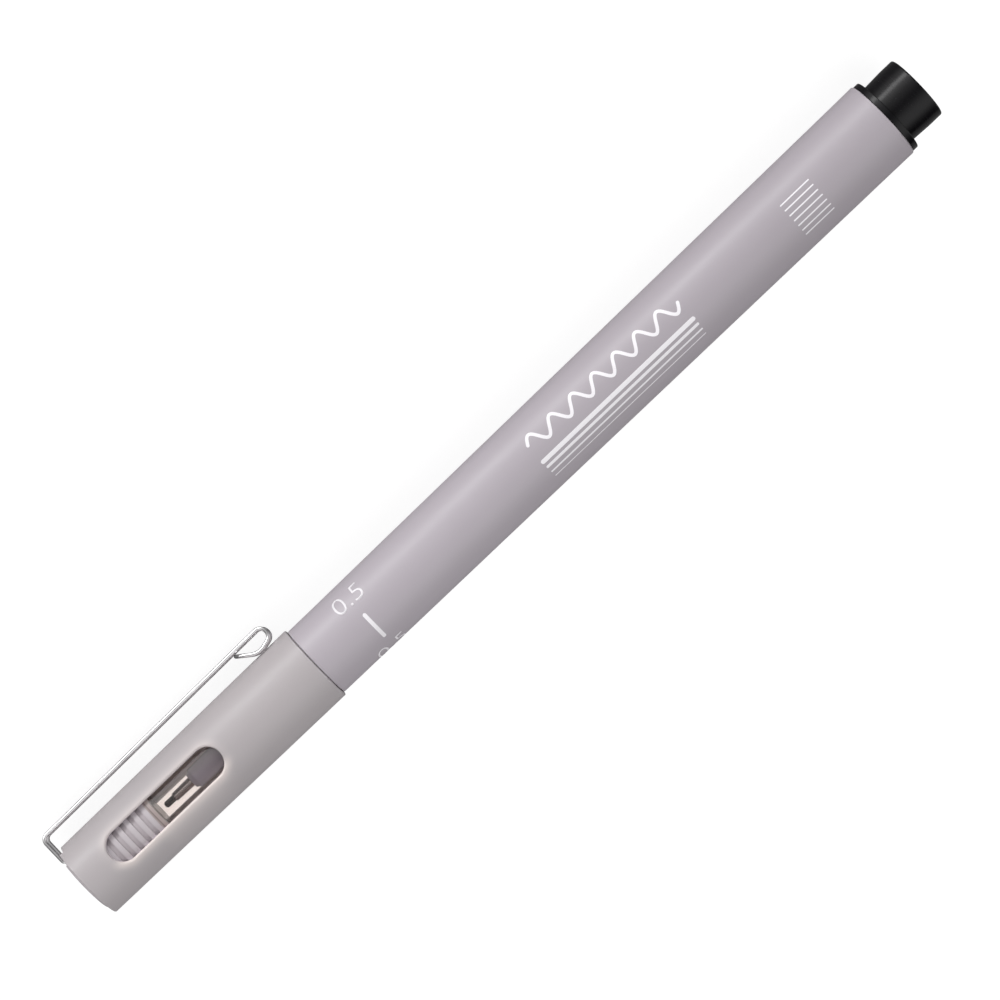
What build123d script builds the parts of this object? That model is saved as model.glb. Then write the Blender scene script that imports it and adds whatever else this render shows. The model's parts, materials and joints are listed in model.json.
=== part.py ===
from build123d import *

import math
import os

# A capped fineliner pen, in millimetres. It lies along X with its tail face at zero and its nib towards +X.
# It is rolled about X until the wire clip meets the surface that the barrel lies on, as a pen does on a desk.

# Lengths along the pen
overall_length = 140.0
cap_shell_length = 38.5
crown_stand_out = 0.3
cap_mouth_gap = 0.09
tail_stub_length = 4.9
tail_flange_thickness = 0.85

# Barrel
barrel_tail_diameter = 10.93
barrel_shoulder_diameter = 10.02
barrel_bore_diameter = 8.1
barrel_web_thickness = 1.0
barrel_tail_edge_radius = 0.2
barrel_shoulder_edge_radius = 0.15
neck_diameter = 8.66
neck_length = 7.5
neck_wall = 1.03
neck_groove_depth = 0.16
neck_groove_width = 0.9
neck_groove_setback = 2.4

# Tail plug
stub_grip_oversize = 0.045
stub_grip_length = 2.2
stub_root_step = 0.115
stub_edge_radius = 0.25
flange_step = 0.165
flange_edge_radius = 0.14
plug_spigot_length = 7.0
plug_wall = 1.0
plug_floor_thickness = 1.3

# Front section
front_flange_step = 0.08
front_flange_thickness = 0.9
front_plug_length = 6.0
front_seal_diameter = 6.1
front_seal_length = 4.7
front_cone_length = 2.4
nose_root_diameter = 3.1
nose_diameter = 2.8
nose_length = 5.42
nose_face_diameter = 1.9
nose_chamfer_length = 0.65

# Nib, sleeve and ink store
nib_diameter = 0.84
nib_length = 36.0
nib_tip_share = 0.86
nib_bare_length = 1.55
sleeve_wall = 0.205
sleeve_mouth_wall = 0.13
sleeve_bare_length = 2.85
sleeve_seat_length = 9.0
sleeve_edge_radius = 0.06
reservoir_film_thickness = 0.08
reservoir_end_gap = 0.1

# Cap shell
cap_mouth_diameter = 10.71
cap_end_diameter = 10.31
cap_mouth_edge_radius = 0.16
cap_end_edge_radius = 0.18
inner_cap_step = 0.15
window_length = 18.22
window_width = 4.07
window_setback = 4.65
window_edge_radius = 0.24
far_slot_width = 3.03
clip_notch_depth = 0.6

# Inner cap
inner_cap_mouth_gap = 1.82
inner_cap_nib_room = 0.82
inner_cap_floor_thickness = 0.81
inner_cap_lead_in = 0.3

# Crown
crown_face_edge_radius = 0.3
crown_rib_pitch = 1.28
crown_rib_width = 0.68
crown_rib_depth = 0.25
crown_plain_length = 4.4
crown_pocket_depth = 2.2

# Wire clip, with heights above the cap's outer face
wire_diameter = 0.5
clip_leg_spacing = 3.3
clip_leg_stand_off = 0.02
clip_tail_length = 1.67
clip_mouth_setback = 1.68
clip_height_at_crown = 2.26
clip_height_at_curl = 2.48
curl_front_height = 0.73
curl_foot_height = 0.07
curl_foot_setback = 2.48
curl_lip_height = 1.86
curl_lip_setback = 4.85
clip_tail_bend = 0.45
clip_corner_bend = 0.85
curl_bend_share = 0.5375
curl_foot_bend = 2.2
curl_lip_bend_share = 0.91

# Fits and clearances
cap_slide_clearance = 0.05
inner_cap_seal_clearance = 0.08
seated_clearance = 0.03
pressed_clearance = 0.01
nib_channel_clearance = 0.13
reservoir_clearance = 0.26
clip_notch_clearance = 0.7
clip_pocket_clearance = 0.19
clip_roof_clearance = 0.15
clip_rest_clearance = 0.02
cut_overrun = 1.0

# Places along the pen, from the tail face
barrel_tail = tail_stub_length + tail_flange_thickness
shell_end = overall_length - crown_stand_out
cap_mouth = shell_end - cap_shell_length
barrel_shoulder = cap_mouth - cap_mouth_gap
barrel_front = barrel_shoulder + neck_length
web_rear = barrel_shoulder - barrel_web_thickness
spigot_end = barrel_tail + plug_spigot_length
flange_front = barrel_front + front_flange_thickness
seal_end = flange_front + front_seal_length
cone_end = seal_end + front_cone_length
nose_face = cone_end + nose_length
sleeve_rear = nose_face - sleeve_seat_length
sleeve_mouth = nose_face + sleeve_bare_length
nib_end = sleeve_mouth + nib_bare_length
nib_rear = nib_end - nib_length
inner_cap_mouth = flange_front + inner_cap_mouth_gap
inner_cap_floor = nib_end + inner_cap_nib_room
inner_cap_end = inner_cap_floor + inner_cap_floor_thickness
crown_rear = inner_cap_end
window_middle = shell_end - window_setback - window_length / 2

# Radii that fits are worked out from
neck_bore_radius = neck_diameter / 2 - neck_wall
front_plug_radius = neck_bore_radius - pressed_clearance
front_flange_radius = neck_diameter / 2 - front_flange_step
cap_bore_radius = neck_diameter / 2 + cap_slide_clearance
cap_thin_end_radius = min(cap_mouth_diameter, cap_end_diameter) / 2
cap_wall_middle_radius = (cap_bore_radius + cap_thin_end_radius) / 2
cap_cut_radius = max(cap_mouth_diameter, cap_end_diameter) / 2 + cut_overrun
stub_radius = cap_bore_radius + stub_grip_oversize
stub_root_radius = stub_radius - stub_root_step
flange_radius = barrel_tail_diameter / 2 - flange_step
spigot_radius = barrel_bore_diameter / 2 - pressed_clearance
inner_cap_radius = cap_bore_radius - seated_clearance
inner_cap_bore_radius = front_seal_diameter / 2 + inner_cap_seal_clearance
crown_bore_radius = cap_bore_radius - inner_cap_step
crown_radius = crown_bore_radius - seated_clearance
nib_channel_radius = nib_diameter / 2 + nib_channel_clearance
nib_socket_radius = nib_diameter / 2 + pressed_clearance
sleeve_radius = nib_socket_radius + sleeve_wall
sleeve_mouth_radius = nib_socket_radius + sleeve_mouth_wall
sleeve_seat_radius = sleeve_radius + pressed_clearance
film_radius = barrel_bore_diameter / 2 - reservoir_clearance
film_bore_radius = film_radius - reservoir_film_thickness
reservoir_radius = film_bore_radius - pressed_clearance
wire_radius = wire_diameter / 2
clip_half_spacing = clip_leg_spacing / 2
clip_notch_width = clip_leg_spacing + wire_diameter + 2 * clip_notch_clearance

# Roll at which the clip's lower leg comes down to the surface under the barrel's tail
clip_run_height = cap_mouth_diameter / 2 + clip_height_at_curl
clip_rest_drop = barrel_tail_diameter / 2 - clip_rest_clearance - wire_radius
clip_rest_reach = math.hypot(clip_run_height, clip_half_spacing)
pen_roll = math.asin(clip_rest_drop / clip_rest_reach) - math.atan2(clip_half_spacing, clip_run_height)

# Heights of the wire's tails and of the crown's flat under them, below the curved roof of the shell's bore
pocket_roof_height = math.sqrt(crown_bore_radius**2 - (clip_half_spacing + wire_radius) ** 2)
clip_tail_height = pocket_roof_height - clip_roof_clearance - wire_radius
crown_flat_height = clip_tail_height - wire_radius - clip_pocket_clearance

# On this plane local y points out to the clip and local z points away from the wide window.
clip_plane = Plane(
    origin=(0, 0, 0),
    x_dir=(1, 0, 0),
    z_dir=(0, math.sin(pen_roll), -math.cos(pen_roll)),
)


def distance_off_axis(shape):
    """How far the middle of an edge lies from the pen's axis."""
    middle = shape.center()
    return math.hypot(middle.Y, middle.Z)


os.makedirs("parts", exist_ok=True)

# The tail plug closes the barrel: a hollow spigot inside, a flange against the barrel's end, a stub outside.
with BuildPart() as tail_plug:
    with BuildSketch(Plane.XY):
        with BuildLine():
            Polyline(
                (0, 0),
                (0, stub_radius),
                (stub_grip_length, stub_radius),
                (tail_stub_length, stub_root_radius),
                (tail_stub_length, flange_radius),
                (barrel_tail, flange_radius),
                (barrel_tail, spigot_radius),
                (spigot_end, spigot_radius),
                (spigot_end, spigot_radius - plug_wall),
                (plug_floor_thickness, spigot_radius - plug_wall),
                (plug_floor_thickness, 0),
                close=True,
            )
        make_face()
    revolve(axis=Axis.X)
    rims = tail_plug.edges().filter_by(GeomType.CIRCLE)
    fillet(rims.group_by(Axis.X)[0], radius=stub_edge_radius)
    flange_rims = tail_plug.edges().filter_by(GeomType.CIRCLE).group_by(SortBy.RADIUS)[-1]
    fillet(flange_rims, radius=flange_edge_radius)
tail_plug.part.label = "tail_plug"
export_step(tail_plug.part, "parts/tail_plug.step")

# The barrel tapers from its tail to the shoulder, then steps down to the neck that the cap slides on.
with BuildPart() as barrel:
    with BuildSketch(Plane.XY):
        with BuildLine():
            Polyline(
                (barrel_tail, barrel_bore_diameter / 2),
                (barrel_tail, barrel_tail_diameter / 2),
                (barrel_shoulder, barrel_shoulder_diameter / 2),
                (barrel_shoulder, neck_diameter / 2),
                (barrel_front, neck_diameter / 2),
                (barrel_front, neck_bore_radius),
                (web_rear, neck_bore_radius),
                (web_rear, barrel_bore_diameter / 2),
                close=True,
            )
        make_face()
    revolve(axis=Axis.X)
    shoulder_rims = barrel.edges().filter_by(GeomType.CIRCLE).group_by(Axis.X)[-2]
    fillet(shoulder_rims.sort_by(SortBy.RADIUS)[-1], radius=barrel_shoulder_edge_radius)
    tail_rims = barrel.edges().filter_by(GeomType.CIRCLE).group_by(Axis.X)[0]
    fillet(tail_rims.sort_by(SortBy.RADIUS)[-1], radius=barrel_tail_edge_radius)
    with BuildSketch(Plane.XY):
        with Locations((barrel_shoulder + neck_groove_setback, neck_diameter / 2)):
            Rectangle(neck_groove_width, 2 * neck_groove_depth)
    revolve(axis=Axis.X, mode=Mode.SUBTRACT)
barrel.part.label = "barrel"
export_step(barrel.part, "parts/barrel.step")

# The front section plugs into the neck, seals the inner cap's mouth and narrows to the nose round the sleeve.
with BuildPart() as front_section:
    with BuildSketch(Plane.XY):
        with BuildLine():
            Polyline(
                (barrel_front - front_plug_length, nib_channel_radius),
                (barrel_front - front_plug_length, front_plug_radius),
                (barrel_front, front_plug_radius),
                (barrel_front, front_flange_radius),
                (flange_front, front_flange_radius),
                (flange_front, front_seal_diameter / 2),
                (seal_end, front_seal_diameter / 2),
                (cone_end, nose_root_diameter / 2),
                (nose_face - nose_chamfer_length, nose_diameter / 2),
                (nose_face, nose_face_diameter / 2),
                (nose_face, sleeve_seat_radius),
                (sleeve_rear, sleeve_seat_radius),
                (sleeve_rear, nib_channel_radius),
                close=True,
            )
        make_face()
    revolve(axis=Axis.X)
front_section.part.label = "front_section"
export_step(front_section.part, "parts/front_section.step")

# The steel sleeve is a thin tube pressed into the nose, drawn in slightly at its mouth.
with BuildPart() as nib_sleeve:
    with BuildSketch(Plane.XY):
        with BuildLine():
            Polyline(
                (sleeve_rear, nib_socket_radius),
                (sleeve_rear, sleeve_radius),
                (nose_face, sleeve_radius),
                (sleeve_mouth, sleeve_mouth_radius),
                (sleeve_mouth, nib_socket_radius),
                close=True,
            )
        make_face()
    revolve(axis=Axis.X)
    mouth_rim = nib_sleeve.edges().filter_by(GeomType.CIRCLE).group_by(Axis.X)[-1].sort_by(SortBy.RADIUS)[-1]
    fillet(mouth_rim, radius=sleeve_edge_radius)
nib_sleeve.part.label = "nib_sleeve"
export_step(nib_sleeve.part, "parts/nib_sleeve.step")

# The fibre nib is one rod, from its rounded writing end back into the ink reservoir.
with BuildPart() as fibre_nib:
    with BuildSketch(Plane.XY):
        with BuildLine():
            Polyline(
                (nib_rear, 0),
                (nib_rear, nib_diameter / 2),
                (nib_end, nib_diameter / 2),
                (nib_end, 0),
                close=True,
            )
        make_face()
    revolve(axis=Axis.X)
    tip_rim = fibre_nib.edges().filter_by(GeomType.CIRCLE).sort_by(Axis.X)[-1]
    fillet(tip_rim, radius=nib_tip_share * nib_diameter / 2)
fibre_nib.part.label = "fibre_nib"
export_step(fibre_nib.part, "parts/fibre_nib.step")

# The ink reservoir is a bundle of fibres between the plug's spigot and the barrel's web.
# A socket in its front takes the nib.
reservoir_rear = spigot_end + reservoir_end_gap
reservoir_front = web_rear - reservoir_end_gap
with BuildPart() as ink_reservoir:
    with BuildSketch(Plane.XY):
        with BuildLine():
            Polyline(
                (reservoir_rear, 0),
                (reservoir_rear, reservoir_radius),
                (reservoir_front, reservoir_radius),
                (reservoir_front, nib_socket_radius),
                (nib_rear - pressed_clearance, nib_socket_radius),
                (nib_rear - pressed_clearance, 0),
                close=True,
            )
        make_face()
    revolve(axis=Axis.X)
ink_reservoir.part.label = "ink_reservoir"
export_step(ink_reservoir.part, "parts/ink_reservoir.step")

# A thin film wraps the reservoir and keeps the ink off the barrel's wall.
with BuildPart() as reservoir_film:
    with BuildSketch(Plane.XY):
        with BuildLine():
            Polyline(
                (reservoir_rear, film_bore_radius),
                (reservoir_rear, film_radius),
                (reservoir_front, film_radius),
                (reservoir_front, film_bore_radius),
                close=True,
            )
        make_face()
    revolve(axis=Axis.X)
reservoir_film.part.label = "reservoir_film"
export_step(reservoir_film.part, "parts/reservoir_film.step")

# The cap shell is a slightly tapered tube. Its bore steps down past the inner cap to hold the crown.
# A wide window faces up, a narrower slot lies opposite, and a notch at the end lets the clip's legs in.
with BuildPart() as cap_shell:
    with BuildSketch(Plane.XY):
        with BuildLine():
            Polyline(
                (cap_mouth, cap_bore_radius),
                (cap_mouth, cap_mouth_diameter / 2),
                (shell_end, cap_end_diameter / 2),
                (shell_end, crown_bore_radius),
                (inner_cap_end, crown_bore_radius),
                (inner_cap_end, cap_bore_radius),
                close=True,
            )
        make_face()
    revolve(axis=Axis.X)
    rims = cap_shell.edges().filter_by(GeomType.CIRCLE)
    fillet(rims.group_by(Axis.X)[-1].sort_by(SortBy.RADIUS)[-1], radius=cap_end_edge_radius)
    rims = cap_shell.edges().filter_by(GeomType.CIRCLE)
    fillet(rims.group_by(Axis.X)[0].sort_by(SortBy.RADIUS)[-1], radius=cap_mouth_edge_radius)
    with BuildSketch(clip_plane):
        with Locations((window_middle, 0)):
            SlotOverall(window_length, window_width)
    extrude(amount=-cap_cut_radius, mode=Mode.SUBTRACT)
    window_rim = cap_shell.edges(Select.LAST).filter_by(
        lambda edge: distance_off_axis(edge) > cap_wall_middle_radius
    )
    fillet(window_rim, radius=window_edge_radius)
    with BuildSketch(clip_plane):
        with Locations((window_middle, 0)):
            SlotOverall(window_length, far_slot_width)
    extrude(amount=cap_cut_radius, mode=Mode.SUBTRACT)
    slot_rim = cap_shell.edges(Select.LAST).filter_by(
        lambda edge: distance_off_axis(edge) > cap_wall_middle_radius
    )
    fillet(slot_rim, radius=window_edge_radius)
    with BuildSketch(clip_plane):
        with Locations((shell_end - clip_notch_depth, 0)):
            Rectangle(clip_notch_depth + cut_overrun, cap_cut_radius, align=(Align.MIN, Align.MIN))
    extrude(amount=clip_notch_width / 2, both=True, mode=Mode.SUBTRACT)
cap_shell.part.label = "cap_shell"
export_step(cap_shell.part, "parts/cap_shell.step")

# The clear inner cap stands against the step in the shell's bore and closes round the front section's seal.
with BuildPart() as inner_cap:
    with BuildSketch(Plane.XY):
        with BuildLine():
            Polyline(
                (inner_cap_mouth, inner_cap_bore_radius + inner_cap_lead_in),
                (inner_cap_mouth, inner_cap_radius),
                (inner_cap_end, inner_cap_radius),
                (inner_cap_end, 0),
                (inner_cap_floor, 0),
                (inner_cap_floor, inner_cap_bore_radius),
                (inner_cap_mouth + inner_cap_lead_in, inner_cap_bore_radius),
                close=True,
            )
        make_face()
    revolve(axis=Axis.X)
inner_cap.part.label = "inner_cap"
export_step(inner_cap.part, "parts/inner_cap.step")

# The crown is a ribbed plug in the shell's end, as long as the inner cap leaves room for.
# A flat on the clip's side leaves a pocket for the wire's tails.
with BuildPart() as cap_crown:
    with BuildSketch(Plane.XY):
        with BuildLine():
            Polyline(
                (crown_rear, 0),
                (crown_rear, crown_radius),
                (overall_length, crown_radius),
                (overall_length, 0),
                close=True,
            )
        make_face()
    revolve(axis=Axis.X)
    fillet(cap_crown.edges().filter_by(GeomType.CIRCLE).sort_by(Axis.X)[-1], radius=crown_face_edge_radius)
    groove_width = crown_rib_pitch - crown_rib_width
    ribbed_length = overall_length - crown_rear - crown_plain_length
    groove_count = int((ribbed_length - crown_rib_width) / crown_rib_pitch)
    for index in range(groove_count):
        groove_place = crown_rear + crown_rib_width + groove_width / 2 + index * crown_rib_pitch
        with BuildSketch(Plane.XY):
            with Locations((groove_place, crown_radius)):
                Rectangle(groove_width, 2 * crown_rib_depth)
        revolve(axis=Axis.X, mode=Mode.SUBTRACT)
    with BuildSketch(clip_plane):
        with Locations((overall_length - crown_pocket_depth, crown_flat_height)):
            Rectangle(crown_pocket_depth + cut_overrun, crown_radius, align=(Align.MIN, Align.MIN))
    extrude(amount=crown_radius + cut_overrun, both=True, mode=Mode.SUBTRACT)
cap_crown.part.label = "cap_crown"
export_step(cap_crown.part, "parts/cap_crown.step")

# The clip is one wire bent double. Both tails stand in the crown's pocket, the legs run along the cap,
# and a curl brings them down to the cap and back up to the bend that joins them.
leg_place = shell_end + clip_leg_stand_off + wire_radius
curl_place = cap_mouth + clip_mouth_setback
curl_bend = curl_bend_share * (clip_height_at_curl - curl_front_height)
curl_lip_bend = curl_lip_bend_share * clip_half_spacing
leg_outline = [
    (leg_place - clip_tail_length, clip_tail_height),
    (leg_place, clip_tail_height),
    (leg_place, cap_end_diameter / 2 + clip_height_at_crown),
    (curl_place, clip_run_height),
    (curl_place, cap_mouth_diameter / 2 + curl_front_height),
    (curl_place + curl_foot_setback, cap_mouth_diameter / 2 + curl_foot_height),
    (curl_place + curl_lip_setback, cap_mouth_diameter / 2 + curl_lip_height),
]
near_leg = [(along, height, -clip_half_spacing) for along, height in leg_outline]
far_leg = [(along, height, clip_half_spacing) for along, height in reversed(leg_outline)]
leg_bends = [clip_tail_bend, clip_corner_bend, curl_bend, curl_bend, curl_foot_bend, curl_lip_bend]
with BuildPart() as clip:
    with BuildLine(clip_plane) as clip_route:
        FilletPolyline(*near_leg, *far_leg, radius=leg_bends + leg_bends[::-1])
    with BuildSketch(Plane(origin=clip_route.line @ 0, z_dir=clip_route.line % 0)):
        Circle(wire_radius)
    sweep(path=clip_route.wires()[0])
clip.part.label = "clip"
export_step(clip.part, "parts/clip.step")
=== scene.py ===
import json
import math

import bmesh
import bpy
from mathutils import Matrix, Vector


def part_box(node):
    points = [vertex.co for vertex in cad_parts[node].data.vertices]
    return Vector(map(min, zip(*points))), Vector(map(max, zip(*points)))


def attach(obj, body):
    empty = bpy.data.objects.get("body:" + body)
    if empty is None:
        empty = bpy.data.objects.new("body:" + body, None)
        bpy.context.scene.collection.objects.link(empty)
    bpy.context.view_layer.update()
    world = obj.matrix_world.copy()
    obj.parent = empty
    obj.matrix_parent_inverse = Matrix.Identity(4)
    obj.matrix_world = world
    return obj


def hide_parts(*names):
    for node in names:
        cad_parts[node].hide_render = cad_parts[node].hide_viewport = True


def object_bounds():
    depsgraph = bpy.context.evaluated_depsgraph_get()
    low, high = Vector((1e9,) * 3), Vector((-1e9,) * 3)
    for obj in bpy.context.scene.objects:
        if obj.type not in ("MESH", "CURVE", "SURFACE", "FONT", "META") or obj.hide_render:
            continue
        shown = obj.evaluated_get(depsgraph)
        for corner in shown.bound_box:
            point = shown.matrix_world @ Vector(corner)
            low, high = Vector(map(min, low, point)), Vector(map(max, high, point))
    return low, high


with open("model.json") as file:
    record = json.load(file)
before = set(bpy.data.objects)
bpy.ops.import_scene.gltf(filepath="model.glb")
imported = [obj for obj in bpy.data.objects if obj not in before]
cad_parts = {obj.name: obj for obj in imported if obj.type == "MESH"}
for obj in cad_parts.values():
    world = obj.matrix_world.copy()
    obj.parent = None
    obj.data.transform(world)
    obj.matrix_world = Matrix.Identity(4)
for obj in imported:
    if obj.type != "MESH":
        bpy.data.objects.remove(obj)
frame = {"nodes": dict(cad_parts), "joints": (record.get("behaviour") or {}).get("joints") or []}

cad_low, cad_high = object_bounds()


# Ink reservoir and its film. The reservoir is a bundle of polyester fibres, soaked in black ink, which a
# thin clear film holds together. They are pushed into the barrel from the tail before the plug closes it.
MM = 0.001
nodes = frame["nodes"]


class Wire:
    """An output in a material's node tree. Sums and products of wires add Math nodes to that tree."""

    def __init__(self, tree, socket=None):
        self.tree = tree
        self.socket = socket

    def node(self, kind, settings=None, inputs=None, output=0):
        """Add a node, set its settings, then fill its sockets with numbers, colours or other wires."""
        made = self.tree.nodes.new("ShaderNode" + kind)
        for name, value in (settings or {}).items():
            setattr(made, name, value)
        for name, value in (inputs or {}).items():
            if isinstance(value, Wire):
                self.tree.links.new(value.socket, made.inputs[name])
            else:
                made.inputs[name].default_value = value
        return Wire(self.tree, made.outputs[output] if made.outputs else None)

    def math(self, operation, *values):
        return self.node("Math", {"operation": operation}, dict(enumerate(values)))

    def __add__(self, other):
        return self.math("ADD", self, other)

    def __radd__(self, other):
        return self.math("ADD", other, self)

    def __sub__(self, other):
        return self.math("SUBTRACT", self, other)

    def __rsub__(self, other):
        return self.math("SUBTRACT", other, self)

    def __mul__(self, other):
        return self.math("MULTIPLY", self, other)

    def __rmul__(self, other):
        return self.math("MULTIPLY", other, self)

    def __abs__(self):
        return self.math("ABSOLUTE", self)


def new_material(name):
    """An empty material and the wire that its nodes are added through."""
    material = bpy.data.materials.new(name)
    material.use_nodes = True
    material.node_tree.nodes.clear()
    return material, Wire(material.node_tree)


def piece_place(start):
    """Where a point lies on its piece, in metres, with X along the pen from the tail face."""
    return start.node("TexCoord", {}, {}, "Object")


def colour(red, green, blue):
    """A colour as a screen shows it, from 0 to 255, as the linear colour that a shader takes."""
    shares = [value / 255 for value in (red, green, blue)]
    linear = [share / 12.92 if share <= 0.04045 else ((share + 0.055) / 1.055) ** 2.4 for share in shares]
    return (*linear, 1.0)


def noise(start, place, grains, detail=2.0, stretch=None):
    """Cloudy noise from 0 to 1, with about this many grains to the metre, times the stretch of an axis."""
    if stretch:
        place = start.node("VectorMath", {"operation": "MULTIPLY"}, {0: place, 1: stretch})
    return start.node("TexNoise", {}, {"Vector": place, "Scale": grains, "Detail": detail}, "Fac")


def between(mask, first, second):
    """The first colour where the mask is 0 and the second where it is 1."""
    return mask.node("Mix", {"data_type": "RGBA"}, {0: mask, 6: first, 7: second}, 2)


def ramp(value, low, high):
    """0 before low, 1 past high and a soft step between them. It falls where low is the larger."""
    settings = {"interpolation_type": "SMOOTHSTEP"}
    return value.node("MapRange", settings, {"Value": value, "From Min": low, "From Max": high}, "Result")


def bumped(start, height, depth):
    """A normal that follows a height from 0 to 1 over this depth in metres."""
    return start.node("Bump", {}, {"Height": height, "Distance": depth, "Strength": 1.0}, "Normal")


def principled(start, **inputs):
    """A Principled shader. A socket's name is written with _ for each space."""
    sockets = {name.replace("_", " "): value for name, value in inputs.items()}
    return start.node("BsdfPrincipled", {}, sockets, "BSDF")


def surface(start, **inputs):
    """A Principled shader on the material's output."""
    start.node("OutputMaterial", {}, {"Surface": principled(start, **inputs)})


def finish_node(node, material):
    """Put a material on a CAD node in place of its packed one."""
    nodes[node].data.materials.clear()
    nodes[node].data.materials.append(material)


lengthwise_lines = (0.02, 1.0, 1.0)


def soaked_fibre(name, wet_colour, dry_colour, strands):
    """A bundle of fibres along the pen, dark with ink, with paler dry strands here and there."""
    strand_depth = 0.03 * MM
    dry_span = (0.52, 0.75)
    wet_roughness, dry_roughening = 0.62, 0.3
    material, start = new_material(name)
    strand = noise(start, piece_place(start), grains=strands, detail=3.0, stretch=lengthwise_lines)
    dry = ramp(strand, *dry_span)
    surface(
        start,
        Base_Color=between(dry, wet_colour, dry_colour),
        Roughness=wet_roughness + dry_roughening * dry,
        Normal=bumped(start, strand, strand_depth),
    )
    return material


reservoir_strands = 6000.0
reservoir_wet, reservoir_dry = colour(28, 27, 33), colour(62, 60, 70)
reservoir_fibre = soaked_fibre("reservoir_fibre", reservoir_wet, reservoir_dry, reservoir_strands)
finish_node("ink_reservoir", reservoir_fibre)

crease_stretch = (0.3, 1.0, 1.0)
crease_depth = 0.05 * MM
film_grey, crease_white = colour(214, 214, 210), colour(232, 232, 228)
film_roughness, crease_roughening = 0.12, 0.2
film_cover, crease_cover = 0.25, 0.2
film_material, film = new_material("reservoir_wrap")
film_crease = noise(film, piece_place(film), grains=500.0, detail=4.0, stretch=crease_stretch)
surface(
    film,
    Base_Color=between(film_crease, film_grey, crease_white),
    Roughness=film_roughness + crease_roughening * film_crease,
    Alpha=film_cover + crease_cover * film_crease,
    Normal=bumped(film, film_crease, crease_depth),
)
finish_node("reservoir_film", film_material)


# Barrel. One injection-moulded tube of lavender-grey plastic, tapered from the tail to the shoulder under
# the cap, with the thickest wall at the tail, painted shade that deepens its grey towards the tail, and a
# neck painted paler to lighten the shade in the gap under the cap's mouth. Its mould was spark-eroded, so
# the wall has a fine satin grain, and handling has rubbed the rims a little shiny.
def along_pen(place):
    """How far a point lies from the tail face."""
    return place.node("SeparateXYZ", {}, {"Vector": place}, "X")


def off_axis(place):
    """How far a point lies from the pen's axis."""
    across = place.node("VectorMath", {"operation": "MULTIPLY"}, {0: place, 1: (0.0, 1.0, 1.0)})
    return place.node("VectorMath", {"operation": "LENGTH"}, {0: across}, "Value")


def diagonal(first, second):
    """The diagonal over two lengths at right angles."""
    return first.math("SQRT", first * first + second * second)


def satin_plastic(name, pale_colour, deep_colour, rims, roughness=0.36, zones=None):
    """Satin moulded plastic, with cloudy pigment, faint flow lines, a fine grain and rubbed rims.

    A rim is a circle, given as its place along the pen and its radius. The zones, if any, are a function
    that takes the surface's coordinates and gives masks, each with the colour that shows under it."""
    rim_width, grain_depth = 0.3 * MM, 0.004 * MM
    flow_stretch, smudge_stretch = (0.06, 1.0, 1.0), (0.5, 1.0, 1.0)
    smudge_span, rubbed_span = (0.45, 0.72), (0.35, 0.65)
    cloud_share, flow_share, speck_share = 0.5, 0.3, 0.2
    rubbed_colour, rubbed_share = colour(222, 218, 221), 0.3
    flow_middle = 0.5
    flow_roughening, smudge_roughening, rubbed_shine = 0.1, 0.05, 0.12
    material, start = new_material(name)
    place = piece_place(start)
    along, radius = along_pen(place), off_axis(place)
    cloud = noise(start, place, grains=130.0, detail=3.0)
    flow = noise(start, place, grains=700.0, detail=2.0, stretch=flow_stretch)
    speck = noise(start, place, grains=7000.0, detail=1.0)
    grain = noise(start, place, grains=5200.0, detail=2.0)
    smudge = ramp(noise(start, place, grains=210.0, detail=4.0, stretch=smudge_stretch), *smudge_span)
    pigment = cloud_share * cloud + flow_share * flow + speck_share * speck
    tint = between(pigment, pale_colour, deep_colour)
    for mask, zone_colour in zones(place) if zones else ():
        tint = between(mask, tint, zone_colour)
    rubbed = 0.0
    for rim_place, rim_radius in rims:
        near = ramp(diagonal(along - rim_place, radius - rim_radius), rim_width, 0.0)
        rubbed = near.math("MAXIMUM", near, rubbed)
    rubbed = rubbed * ramp(noise(start, place, grains=1500.0, detail=3.0), *rubbed_span)
    uneven = flow_roughening * (flow - flow_middle) + smudge_roughening * smudge
    surface(
        start,
        Base_Color=between(rubbed_share * rubbed, tint, rubbed_colour),
        Roughness=roughness + uneven - rubbed_shine * rubbed,
        Specular_IOR_Level=0.4,
        Normal=bumped(start, grain, grain_depth),
    )
    return material


barrel_low, barrel_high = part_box("barrel")
cap_low, cap_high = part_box("cap_shell")
cap_mouth_gap = 0.09 * MM
barrel_tail = barrel_low.x
barrel_shoulder = cap_low.x - cap_mouth_gap
barrel_tail_radius = (barrel_high.z - barrel_low.z) / 2
barrel_shoulder_radius = 5.01 * MM
barrel_rims = [(barrel_tail, barrel_tail_radius), (barrel_shoulder, barrel_shoulder_radius)]
# Painted shade: the grey deepens towards the tail.
painted_tail_shade_share = 0.35
painted_tail_shade, painted_neck_light = colour(155, 148, 154), colour(236, 229, 236)
# Painted light: the neck and the shoulder's face are paler, which lightens the shade in the gap under the
# cap's mouth.
neck_fade_start = barrel_shoulder - 0.06 * MM
neck_fade_end = barrel_shoulder - 0.02 * MM


def barrel_zones(place):
    """Painted shade that deepens the grey towards the tail, and painted light on the neck and the
    shoulder's face, which are paler so that the gap under the cap's mouth shows less shade."""
    along = along_pen(place)
    thick = painted_tail_shade_share * ramp(along, barrel_shoulder, barrel_tail)
    neck = ramp(along, neck_fade_start, neck_fade_end)
    return [(thick, painted_tail_shade), (neck, painted_neck_light)]


barrel_pale, barrel_deep = colour(185, 178, 185), colour(177, 170, 177)
barrel_grey = satin_plastic("barrel_grey", barrel_pale, barrel_deep, barrel_rims, zones=barrel_zones)
finish_node("barrel", barrel_grey)


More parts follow.
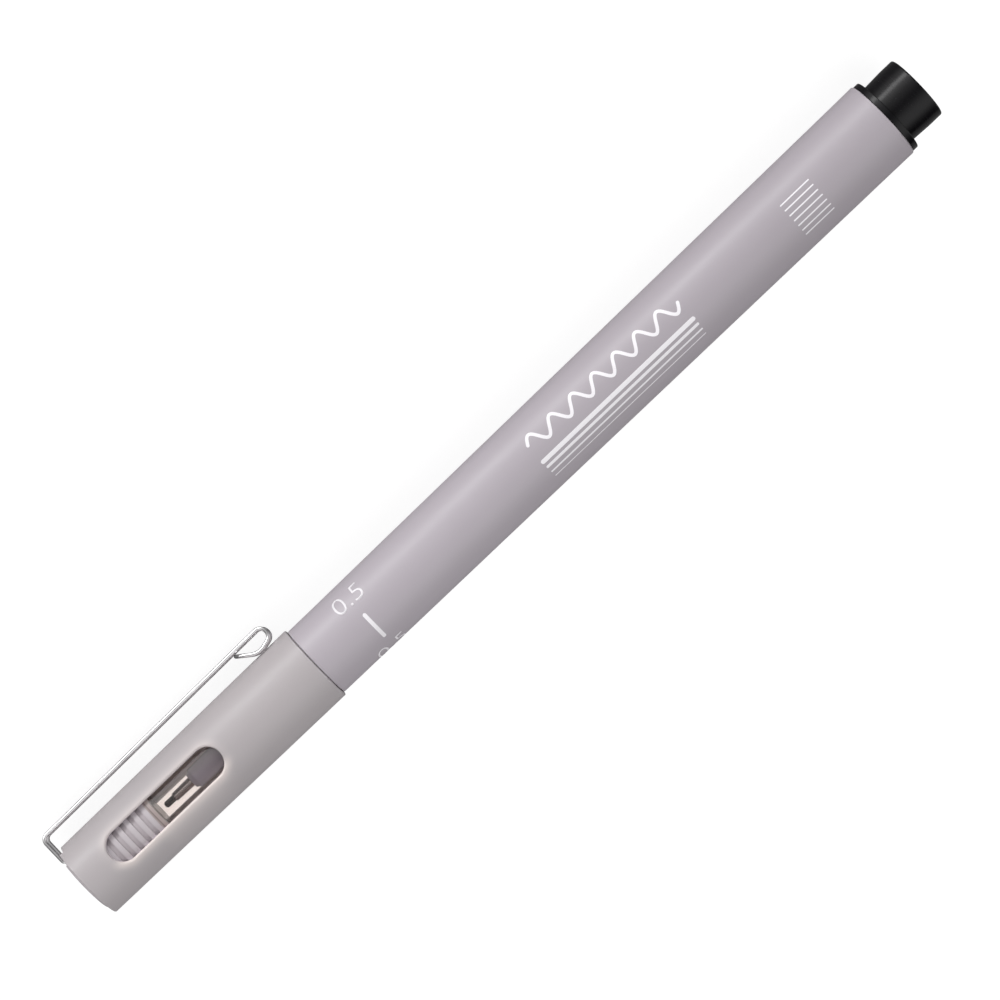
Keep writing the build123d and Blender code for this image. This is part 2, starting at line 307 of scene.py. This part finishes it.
# Print on the barrel. White pad-printing ink, a film a hundredth of a millimetre thick on the tapered
# wall: the line width in plain numbers with bars between them, samples of drawn strokes, and hatching.
viewing_elevation = math.radians(63.8)
towards_viewer = Vector((0.0, -math.cos(viewing_elevation), math.sin(viewing_elevation)))
towards_clip = Vector((0.0, -math.sin(viewing_elevation), -math.cos(viewing_elevation)))
ink_lift = 0.008 * MM
ink_thickness = 0.012 * MM
ink_facet = 0.15 * MM
ink_grain_depth = 0.004 * MM
ink_thin_span, ink_thin_share = (0.55, 0.8), 0.45
ink_white, ink_thin_grey = colour(246, 243, 247), colour(212, 206, 212)
ink_roughness, ink_thin_roughening = 0.5, 0.1

ink_material, ink = new_material("print_white")
ink_place = piece_place(ink)
ink_thin = ramp(noise(ink, ink_place, grains=9000.0, detail=3.0), *ink_thin_span)
surface(
    ink,
    Base_Color=between(ink_thin_share * ink_thin, ink_white, ink_thin_grey),
    Roughness=ink_roughness + ink_thin_roughening * ink_thin,
    Normal=bumped(ink, noise(ink, ink_place, grains=6000.0), ink_grain_depth),
)


def add_object(name, data):
    """A new object of this name in the scene."""
    made = bpy.data.objects.new(name, data)
    bpy.context.scene.collection.objects.link(made)
    return made


def on_barrel(along, around, lift):
    """The point this far from the tail face, at this angle from the viewer's side, lifted off the wall."""
    share = (along - barrel_tail) / (barrel_shoulder - barrel_tail)
    radius = barrel_tail_radius + share * (barrel_shoulder_radius - barrel_tail_radius) + lift
    outwards = towards_viewer * math.cos(around) - towards_clip * math.sin(around)
    return Vector((along, 0.0, 0.0)) + radius * outwards


def print_on_barrel(name, flat, start_along, base_angle):
    """Wrap a flat print onto the barrel, so that it reads towards the tail, with its top to the clip."""
    cut_tolerance = 1e-7
    heights = [point.co.y for point in flat.verts]
    level = min(heights) + ink_facet
    while level < max(heights):
        everything = flat.verts[:] + flat.edges[:] + flat.faces[:]
        cut = {"plane_co": (0, level, 0), "plane_no": (0, 1, 0), "dist": cut_tolerance}
        bmesh.ops.bisect_plane(flat, geom=everything, **cut)
        level += ink_facet
    for point in flat.verts:
        along = start_along - point.co.x
        point.co = on_barrel(along, base_angle - point.co.y / barrel_shoulder_radius, ink_lift)
    bmesh.ops.recalc_face_normals(flat, faces=flat.faces[:])
    mesh = bpy.data.meshes.new(name)
    flat.to_mesh(mesh)
    flat.free()
    mesh.materials.append(ink_material)
    piece = add_object(name, mesh)
    film_depth = piece.modifiers.new("ink_depth", "SOLIDIFY")
    film_depth.thickness = ink_thickness
    film_depth.offset = 0.0
    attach(piece, "barrel")


def flat_text(words, length, height):
    """Flat letters that fill a box of this size from the origin, a little thinner than the font's."""
    letter_thinning = -0.012
    curve = bpy.data.curves.new("letters", "FONT")
    curve.body = words
    curve.offset = letter_thinning
    holder = add_object("letters", curve)
    bpy.context.view_layer.update()
    mesh = bpy.data.meshes.new_from_object(holder.evaluated_get(bpy.context.evaluated_depsgraph_get()))
    bpy.data.objects.remove(holder)
    flat = bmesh.new()
    flat.from_mesh(mesh)
    bpy.data.meshes.remove(mesh)
    corners = [point.co for point in flat.verts]
    low = Vector((min(corner.x for corner in corners), min(corner.y for corner in corners), 0.0))
    high = Vector((max(corner.x for corner in corners), max(corner.y for corner in corners), 0.0))
    for point in flat.verts:
        share = point.co - low
        point.co = (share.x / (high.x - low.x) * length, share.y / (high.y - low.y) * height, 0.0)
    return flat


def add_stroke(flat, points, width):
    """Add a line of this width through the points, with round ends."""
    cap_steps = 10
    points = [Vector((x, y, 0.0)) for x, y in points]
    rows = []
    for index, point in enumerate(points):
        before, after = points[max(index - 1, 0)], points[min(index + 1, len(points) - 1)]
        heading = (after - before).normalized()
        side = Vector((-heading.y, heading.x, 0.0)) * width / 2
        rows.append((flat.verts.new(point + side), flat.verts.new(point - side)))
    for (left, right), (next_left, next_right) in zip(rows, rows[1:]):
        flat.faces.new((left, right, next_right, next_left))
    for end, (left, right), turn in ((points[0], rows[0], 1.0), (points[-1], rows[-1], -1.0)):
        arm = left.co - end
        rim = [
            flat.verts.new(end + Matrix.Rotation(turn * math.pi * step / cap_steps, 3, "Z") @ arm)
            for step in range(1, cap_steps)
        ]
        flat.faces.new((left, *rim, right))


number_place = 95.1 * MM
number_length, number_height = 4.25 * MM, 2.4 * MM
number_base = math.radians(-21.5)
number_count, number_pitch = 3, math.radians(109.0)
bar_place, bar_width = 92.75 * MM, 0.5 * MM
bar_low, bar_high = math.radians(-6.0), math.radians(42.0)
bar_length = (bar_high - bar_low) * barrel_shoulder_radius - bar_width
for index in range(number_count):
    turn = index * number_pitch
    numbers = flat_text("0.5", number_length, number_height)
    print_on_barrel(f"print_number_{index + 1}", numbers, number_place, number_base + turn)
    bar = bmesh.new()
    add_stroke(bar, [(0.0, 0.0), (0.0, bar_length)], bar_width)
    print_on_barrel(f"print_bar_{index + 1}", bar, bar_place, bar_high + turn)

sample_place, sample_length = 64.4 * MM, 25.0 * MM
wave_base = math.radians(-13.0)
wave_count, wave_swing, wave_width = 7, 0.95 * MM, 0.42 * MM
wave_steps = 24
wave = bmesh.new()
wave_points = [
    (
        sample_length * step / (wave_count * wave_steps),
        wave_swing * math.sin(2 * math.pi * step / wave_steps),
    )
    for step in range(wave_count * wave_steps + 1)
]
add_stroke(wave, wave_points, wave_width)
print_on_barrel("print_wave", wave, sample_place, wave_base)

line_base, line_pitch = math.radians(46.0), 0.85 * MM
line_widths = (0.12 * MM, 0.22 * MM, 0.36 * MM, 0.56 * MM)
lines = bmesh.new()
for index, width in enumerate(line_widths):
    add_stroke(lines, [(0.0, index * line_pitch), (sample_length, index * line_pitch)], width)
print_on_barrel("print_line_widths", lines, sample_place, line_base)

hatch_place, hatch_size, hatch_base = 22.4 * MM, 4.6 * MM, math.radians(42.0)
hatch_count, hatch_width = 7, 0.17 * MM
hatch = bmesh.new()
for index in range(hatch_count):
    height = hatch_size * index / (hatch_count - 1)
    add_stroke(hatch, [(0.0, height), (hatch_size, height)], hatch_width)
print_on_barrel("print_hatch_along", hatch, hatch_place, hatch_base)


# Tail plug. Glossy black plastic, moulded in one piece and pressed into the barrel's end up to its flange.
# The cap is posted on its stub, which has left fine rings round the wall, and dust clings to the black.
posted_start, posted_end = 4.6 * MM, 3.4 * MM
ring_stretch = (1.0, 0.03, 0.03)
plug_skin_share, plug_bump_depth = 0.4, 0.0025 * MM
ring_span, dust_span, dust_share = (0.5, 0.75), (0.66, 0.78), 0.12
plug_black, dust_grey = colour(7, 6, 9), colour(84, 80, 84)
plug_roughness, haze_roughening, ring_roughening, dust_roughening = 0.17, 0.06, 0.12, 0.2
plug_material, plug = new_material("plug_black")
plug_place = piece_place(plug)
ring = noise(plug, plug_place, grains=9000.0, detail=2.0, stretch=ring_stretch)
posted = ramp(along_pen(plug_place), posted_start, posted_end)
ring_marks = posted * ramp(ring, *ring_span)
dust = ramp(noise(plug, plug_place, grains=5200.0, detail=2.0), *dust_span)
plug_haze = noise(plug, plug_place, grains=260.0, detail=3.0)
plug_skin = noise(plug, plug_place, grains=4200.0)
plug_dullness = haze_roughening * plug_haze + ring_roughening * ring_marks + dust_roughening * dust
surface(
    plug,
    Base_Color=between(dust_share * dust, plug_black, dust_grey),
    Specular_IOR_Level=0.25,
    Roughness=plug_roughness + plug_dullness,
    Normal=bumped(plug, ring * posted + plug_skin_share * plug_skin, plug_bump_depth),
)
finish_node("tail_plug", plug_material)


# Front section. A paler, glossier plastic than the barrel's, moulded as one nose that plugs into the neck.
# It carries the flange and the seal for the inner cap, and narrows to the face where the nib's sleeve
# comes out.
section_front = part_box("front_section")[1].x
nose_face_radius = 0.95 * MM
section_rims = [(section_front, nose_face_radius)]
section_pale, section_deep = colour(208, 206, 229), colour(198, 196, 219)
section_roughness = 0.1
section_grey = satin_plastic("section_grey", section_pale, section_deep, section_rims, section_roughness)
finish_node("front_section", section_grey)


# Nib sleeve and nib. A drawn steel tube, pressed into the nose and rolled in at its mouth, holds a rod of
# bonded fibres whose rounded end writes. Drawing left fine lines along the tube, and ink darkens the rod.
sleeve_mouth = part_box("nib_sleeve")[1].x
inked_length = 0.5 * MM
inked_share, inked_cover = 0.8, 0.5
drawn_depth = 0.003 * MM
sleeve_steel, sleeve_ink = colour(186, 182, 182), colour(74, 72, 84)
sleeve_roughness, drawn_roughening, inked_roughening = 0.12, 0.1, 0.2
sleeve_material, sleeve = new_material("sleeve_steel")
sleeve_place = piece_place(sleeve)
drawn = noise(sleeve, sleeve_place, grains=16000.0, detail=2.0, stretch=lengthwise_lines)
near_mouth = ramp(along_pen(sleeve_place), sleeve_mouth - inked_length, sleeve_mouth)
inked = near_mouth * noise(sleeve, sleeve_place, grains=4000.0)
surface(
    sleeve,
    Base_Color=between(inked_share * inked, sleeve_steel, sleeve_ink),
    Metallic=1.0 - inked_cover * inked,
    Roughness=sleeve_roughness + drawn_roughening * drawn + inked_roughening * inked,
    Normal=bumped(sleeve, drawn, drawn_depth),
)
finish_node("nib_sleeve", sleeve_material)

nib_strands = 14000.0
nib_wet, nib_dry = colour(20, 19, 28), colour(46, 44, 58)
finish_node("fibre_nib", soaked_fibre("nib_fibre", nib_wet, nib_dry, nib_strands))


# Cap shell. A tapered tube of the same grey plastic, a shade warmer than the barrel, with the long window
# on one side, a narrower slot opposite and a notch at the end for the clip. The rims are rubbed paler from
# use. The window's lip has a painted highlight, the wall beside the window's far side a painted glow, and
# the bore is painted paler to lighten the shade inside the cap.
cap_mouth_radius = (cap_high.z - cap_low.z) / 2
cap_end_radius = 5.155 * MM
cap_bore_radius = 4.38 * MM
bore_fade_start, bore_fade_end = cap_bore_radius + 0.3 * MM, cap_bore_radius + 0.1 * MM
window_setback, window_length, window_width = 4.65 * MM, 18.22 * MM, 4.07 * MM
window_middle = cap_high.x - window_setback - window_length / 2
window_half_width = window_width / 2
window_facing = next(joint["axis"] for joint in frame["joints"] if joint["name"] == "clip_flex")
window_sideways = Vector(window_facing).cross(Vector((1.0, 0.0, 0.0)))
window_side_depth = 1.0 * MM
# Painted light: the colour of the lip's highlight and the far wall's glow, and of the bore painted paler to
# lighten the shade inside.
painted_lip_light, painted_bore_light = colour(234, 223, 219), colour(240, 233, 240)
lip_reach = 2.2 * MM
lip_all_round, lip_clip_side, lip_far_side = 0.12, 0.26, 0.8
lip_side_start = 0.25 * window_half_width
glow_share, glow_reach, glow_edge = 0.2, 3.8 * MM, 0.4 * MM
cup_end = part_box("inner_cap")[1].x
glow_end_start, glow_end_full = cup_end + 1.5 * MM, cup_end - 0.5 * MM
glow_nose_start, glow_nose_full = cup_end - 12.0 * MM, cup_end - 7.0 * MM


def cap_zones(place):
    """A painted highlight on the lip round the window, by the distance from the window's outline, a painted
    glow on the wall beside its far side, for light that comes through from the clear inner cap, and the
    bore painted paler to lighten the shade inside the cap."""
    dot = {"operation": "DOT_PRODUCT"}
    along = along_pen(place)
    outwards = place.node("VectorMath", dot, {0: place, 1: window_facing}, "Value")
    across = place.node("VectorMath", dot, {0: place, 1: window_sideways}, "Value")
    past_straight = abs(along - window_middle) - (window_length - window_width) / 2
    beyond = diagonal(past_straight.math("MAXIMUM", past_straight, 0.0), across) - window_half_width
    window_side = ramp(outwards, 0.0, window_side_depth)
    fade = ramp(beyond, lip_reach, 0.0) * window_side
    far_edge = ramp(across, lip_side_start, window_half_width)
    clip_edge = ramp(across, -lip_side_start, -window_half_width)
    # Painted highlight on the lip, strongest on the far edge.
    lip = fade * fade * fade * (lip_all_round + lip_clip_side * clip_edge + lip_far_side * far_edge)
    beside_cup = ramp(along, glow_end_start, glow_end_full) * ramp(along, glow_nose_start, glow_nose_full)
    glow = glow_share * ramp(beyond, glow_reach, glow_edge) * window_side * far_edge * beside_cup
    # Painted light: the bore is paler, which lightens the shade inside the cap.
    bore = ramp(off_axis(place), bore_fade_start, bore_fade_end)
    return [(glow, painted_lip_light), (lip, painted_lip_light), (bore, painted_bore_light)]


cap_rims = [(cap_low.x, cap_mouth_radius), (cap_high.x, cap_end_radius)]
cap_pale, cap_deep = colour(184, 178, 180), colour(176, 170, 172)
finish_node("cap_shell", satin_plastic("cap_grey", cap_pale, cap_deep, cap_rims, zones=cap_zones))


# Inner cap. A clear moulded cup, pushed into the shell up to the step in its bore. Its lip closes round
# the front section's seal, and its thick wall bends the light, so the nib shows through the window.
# The end wall is mostly covered with an opaque brownish mid-tone, with dark lines at its inner and outer
# corners: painted shade for the dark inside that the thick clear plastic shows bent.
inner_low, inner_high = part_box("inner_cap")
inner_radius = (inner_high.z - inner_low.z) / 2
inner_bore_radius = 3.13 * MM
inner_end_wall = 0.81 * MM
inner_floor = inner_high.x - inner_end_wall
inner_lead_in = 0.3 * MM
inner_edge = 0.05 * MM
inner_sides = 192


def lathe(name, profile, sides):
    """Turn a profile of (along, radius) points about the pen's axis. Points on the axis close the shape."""
    smooth_up_to = math.radians(35)
    angles = [2 * math.pi * side / sides for side in range(sides)]
    made = bmesh.new()
    rings = []
    for along, radius in profile:
        if radius == 0.0:
            rings.append([made.verts.new((along, 0.0, 0.0))])
            continue
        rings.append([made.verts.new((along, radius * math.cos(a), radius * math.sin(a))) for a in angles])
    for first, second in zip(rings, rings[1:]):
        for side in range(sides):
            corners = [
                first[side % len(first)],
                first[(side + 1) % len(first)],
                second[(side + 1) % len(second)],
                second[side % len(second)],
            ]
            made.faces.new(list(dict.fromkeys(corners)))
    bmesh.ops.recalc_face_normals(made, faces=made.faces[:])
    mesh = bpy.data.meshes.new(name)
    made.to_mesh(mesh)
    made.free()
    for face in mesh.polygons:
        face.use_smooth = True
    mesh.set_sharp_from_angle(angle=smooth_up_to)
    return add_object(name, mesh)


inner_cap = lathe(
    "inner_cap_clear",
    [
        (inner_high.x, 0.0),
        (inner_high.x, inner_radius - inner_edge),
        (inner_high.x - inner_edge, inner_radius),
        (inner_low.x + inner_edge, inner_radius),
        (inner_low.x, inner_radius - inner_edge),
        (inner_low.x, inner_bore_radius + inner_lead_in),
        (inner_low.x + inner_lead_in, inner_bore_radius),
        (inner_floor, inner_bore_radius),
        (inner_floor, 0.0),
    ],
    inner_sides,
)
clear_tint, haze_tint, gap_tint = colour(250, 244, 241), colour(246, 238, 234), colour(236, 228, 224)
clear_roughness, clear_haze_roughening = 0.03, 0.05
clear_material, clear = new_material("inner_cap_clear")
clear_place = piece_place(clear)
clear_along, clear_radius = along_pen(clear_place), off_axis(clear_place)
clear_haze = noise(clear, clear_place, grains=900.0, detail=3.0)
clear_shader = principled(
    clear,
    Base_Color=between(clear_haze, clear_tint, haze_tint),
    Roughness=clear_roughness + clear_haze_roughening * clear_haze,
    IOR=1.58,
    Transmission_Weight=1.0,
)
clear_gap = clear.node("BsdfTransparent", {}, {"Color": gap_tint}, "BSDF")
lamp_ray = clear.node("LightPath", {}, {}, "Is Shadow Ray")
clear_mix = clear.node("MixShader", {}, {0: lamp_ray, 1: clear_shader, 2: clear_gap})

corner_width = 0.22 * MM
end_line_place, end_line_width = inner_high.x - 0.22 * MM, 0.65 * corner_width
end_line_share = 0.7
painted_wall_depth, painted_wall_lean = 0.05 * MM, 0.1 * MM
# Painted shade: the brownish end wall and the dark lines at its corners stand in for the dark inside seen
# bent through the clear plastic.
painted_end_wall_shade, painted_corner_line_shade = colour(176, 161, 158), colour(104, 92, 96)
wall_roughness, wall_haze_roughening = 0.25, 0.2
clear_cloudiness, painted_wall_cover = 0.03, 0.82
from_corner = diagonal(clear_along - inner_floor, clear_radius - inner_bore_radius)
corner_line = ramp(from_corner, corner_width, 0.0)
end_line = ramp(abs(clear_along - end_line_place), end_line_width, 0.0)
painted_dark_lines = corner_line.math("MAXIMUM", corner_line, end_line_share * end_line)
haze_and_painted_wall_shader = principled(
    clear,
    Base_Color=between(painted_dark_lines, painted_end_wall_shade, painted_corner_line_shade),
    Roughness=wall_roughness + wall_haze_roughening * clear_haze,
)
# The mix is a faint haze over the whole cup and, behind the floor, mostly the painted end wall.
painted_wall_start = inner_floor + painted_wall_lean * ramp(clear_radius, inner_bore_radius, inner_radius)
cloudy = clear_cloudiness + painted_wall_cover * ramp(clear_along - painted_wall_start, -painted_wall_depth, 0.0)
inner_cap_shader = clear.node("MixShader", {}, {0: cloudy, 1: clear_mix, 2: haze_and_painted_wall_shader})
clear.node("OutputMaterial", {}, {"Surface": inner_cap_shader})
inner_cap.data.materials.append(clear_material)
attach(inner_cap, "cap")
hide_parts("inner_cap")


# Crown. A grey plug with ring ribs, pressed into the shell's end behind the inner cap. Its face stands
# a little proud, and the flat on the clip's side leaves the pocket that holds the wire.
crown_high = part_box("cap_crown")[1]
crown_rims = [(crown_high.x, crown_high.z)]
crown_radius, crown_rib_depth = 4.2 * MM, 0.25 * MM
groove_fade_start = crown_radius - 0.3 * crown_rib_depth
groove_fade_end = crown_radius - 0.7 * crown_rib_depth
face_fade_start, face_fade_end = crown_high.x - 0.3 * MM, crown_high.x - 0.4 * MM
# Painted shade in the grooves between the ribs.
painted_groove_shade = colour(181, 173, 177)


def crown_zones(place):
    """Painted shade on the floors of the grooves between the ribs."""
    groove = ramp(off_axis(place), groove_fade_start, groove_fade_end)
    behind_face = ramp(along_pen(place), face_fade_start, face_fade_end)
    return [(groove * behind_face, painted_groove_shade)]


crown_pale, crown_deep = colour(193, 186, 190), colour(184, 177, 181)
crown_roughness = 0.4
crown_grey = satin_plastic("crown_grey", crown_pale, crown_deep, crown_rims, crown_roughness, crown_zones)
finish_node("cap_crown", crown_grey)


# Clip. One spring-steel wire, drawn, polished and bent double: both tails stand in the crown's pocket,
# the legs run along the cap, and the curl at their end rests near the wall.
wire_line_depth = 0.002 * MM
dull_span = (0.5, 0.75)
bright_steel, dull_steel = colour(240, 239, 240), colour(222, 220, 221)
wire_roughness, line_roughening, dull_roughening = 0.12, 0.08, 0.06
wire_material, wire = new_material("clip_steel")
wire_place = piece_place(wire)
wire_line = noise(wire, wire_place, grains=15000.0, detail=2.0, stretch=lengthwise_lines)
wire_dull = ramp(noise(wire, wire_place, grains=900.0, detail=3.0), *dull_span)
surface(
    wire,
    Base_Color=between(wire_dull, bright_steel, dull_steel),
    Metallic=1.0,
    Specular_Tint=(0.5, 0.5, 0.5, 1.0),
    Roughness=wire_roughness + line_roughening * wire_line + dull_roughening * wire_dull,
    Normal=bumped(wire, wire_line, wire_line_depth),
)
finish_node("clip", wire_material)


# Floor. A plain pale sheet, just far enough under the pen for the clip to open. What the camera and clear
# plastic see of it is lifted to white, and so is what polished pieces see of it on the clip's side, where
# it is lit. It keeps the pen's shadow.
floor_reach = 4.0
clip_room = 1.55 * MM
floor_height = cad_low.z - clip_room
floor_mesh = bpy.data.meshes.new("floor")
floor_corners = [(-1, -1), (1, -1), (1, 1), (-1, 1)]
floor_points = [(x * floor_reach, y * floor_reach, floor_height) for x, y in floor_corners]
floor_mesh.from_pydata(floor_points, [], [(0, 1, 2, 3)])
floor = add_object("floor", floor_mesh)
lit_side_start, lit_side_full = -12.0 * MM, -40.0 * MM
camera_lift = 0.84
black, white, floor_grey = (0.0, 0.0, 0.0, 1.0), (1.0, 1.0, 1.0, 1.0), (0.3, 0.3, 0.3, 1.0)
floor_material, sheet = new_material("floor_white")
ray_kinds = ("Camera", "Glossy", "Transmission")
ray = {name: sheet.node("LightPath", {}, {}, f"Is {name} Ray") for name in ray_kinds}
sheet_side = sheet.node("SeparateXYZ", {}, {"Vector": piece_place(sheet)}, "Y")
lit_side = ramp(sheet_side, lit_side_start, lit_side_full)
lifted = camera_lift * ray["Camera"] + lit_side * ray["Glossy"] + ray["Transmission"]
sheet_glow = sheet.node("Emission", {}, {"Color": between(lifted, black, white), "Strength": 1.0})
sheet_matte = sheet.node("BsdfDiffuse", {}, {"Color": floor_grey})
sheet_shader = sheet.node("AddShader", {}, {0: sheet_matte, 1: sheet_glow})
sheet.node("OutputMaterial", {}, {"Surface": sheet_shader})
floor_mesh.materials.append(floor_material)


# Light. A pale room that is brightest low on the clip's side, dim overhead, bright again above the far
# side and darker past the pen's ends, and one long low softbox, which lays a soft sheen along the barrel.
overhead_level = 0.28
clip_side_level, clip_side_span = 0.71, (-0.35, -0.85)
low_clip_side_level, low_clip_side_span = 1.4, (-0.75, -1.0)
far_side_span = (-0.3, 0.4)
far_side_dip, far_side_dip_span = 1.25, (0.58, 1.0)
end_dimming, end_span = 0.7, (0.65, 1.0)
room = bpy.data.worlds.new("room")
room.use_nodes = True
room.node_tree.nodes.clear()
sky = Wire(room.node_tree)
sky_direction = sky.node("TexCoord", {}, {}, "Generated")
sky_side = sky.node("SeparateXYZ", {}, {"Vector": sky_direction}, "Y")
sky_end = abs(sky.node("SeparateXYZ", {}, {"Vector": sky_direction}, "X"))
clip_side = clip_side_level * ramp(sky_side, *clip_side_span)
low_clip_side = low_clip_side_level * ramp(sky_side, *low_clip_side_span)
far_side = ramp(sky_side, *far_side_span) - far_side_dip * ramp(sky_side, *far_side_dip_span)
side_level = overhead_level + (clip_side + low_clip_side) + far_side
sky_level = side_level * (1.0 - end_dimming * ramp(sky_end, *end_span))
sky_glow = sky.node("Background", {}, {"Color": white, "Strength": sky_level})
sky.node("OutputWorld", {}, {"Surface": sky_glow})
bpy.context.scene.world = room

softbox_distance, softbox_rise = 1.0, math.radians(6.5)
softbox_length, softbox_height = 1.8, 0.24
softbox_power = 6.3
softbox = bpy.data.lights.new("low_softbox", "AREA")
softbox.shape = "RECTANGLE"
softbox.size, softbox.size_y = softbox_length, softbox_height
softbox.energy = softbox_power
softbox_holder = add_object("low_softbox", softbox)
pen_middle = (cad_low + cad_high) / 2
softbox_side = Vector((0.0, -math.cos(softbox_rise), math.sin(softbox_rise)))
softbox_holder.location = pen_middle + softbox_distance * softbox_side
softbox_holder.rotation_euler = softbox_side.to_track_quat("Z", "Y").to_euler()


# Camera. It looks down on the pen from the photograph's angle, rolled so that the pen lies from lower left
# to upper right, through a long lens.
camera_distance = 640.0 * MM
frame_width = 121.58 * MM
sensor_width = 36.0
pen_lean = math.radians(43.74)
aim_along, aim_right, aim_up = 70.0 * MM, -0.125 * MM, -1.819 * MM
forwards = Vector((1.0, 0.0, 0.0))
right = -math.cos(pen_lean) * forwards - math.sin(pen_lean) * towards_clip
up = -math.sin(pen_lean) * forwards + math.cos(pen_lean) * towards_clip
aim = aim_along * forwards + aim_right * right + aim_up * up
camera_data = bpy.data.cameras.new("camera")
camera_data.sensor_width = sensor_width
camera_data.lens = sensor_width * camera_distance / frame_width
camera_data.clip_start, camera_data.clip_end = 0.01, 20.0
camera = add_object("camera", camera_data)
turned = Matrix((right, up, towards_viewer)).transposed().to_4x4()
camera.matrix_world = Matrix.Translation(aim + camera_distance * towards_viewer) @ turned
bpy.context.scene.camera = camera
bpy.context.scene.view_settings.view_transform = "Standard"
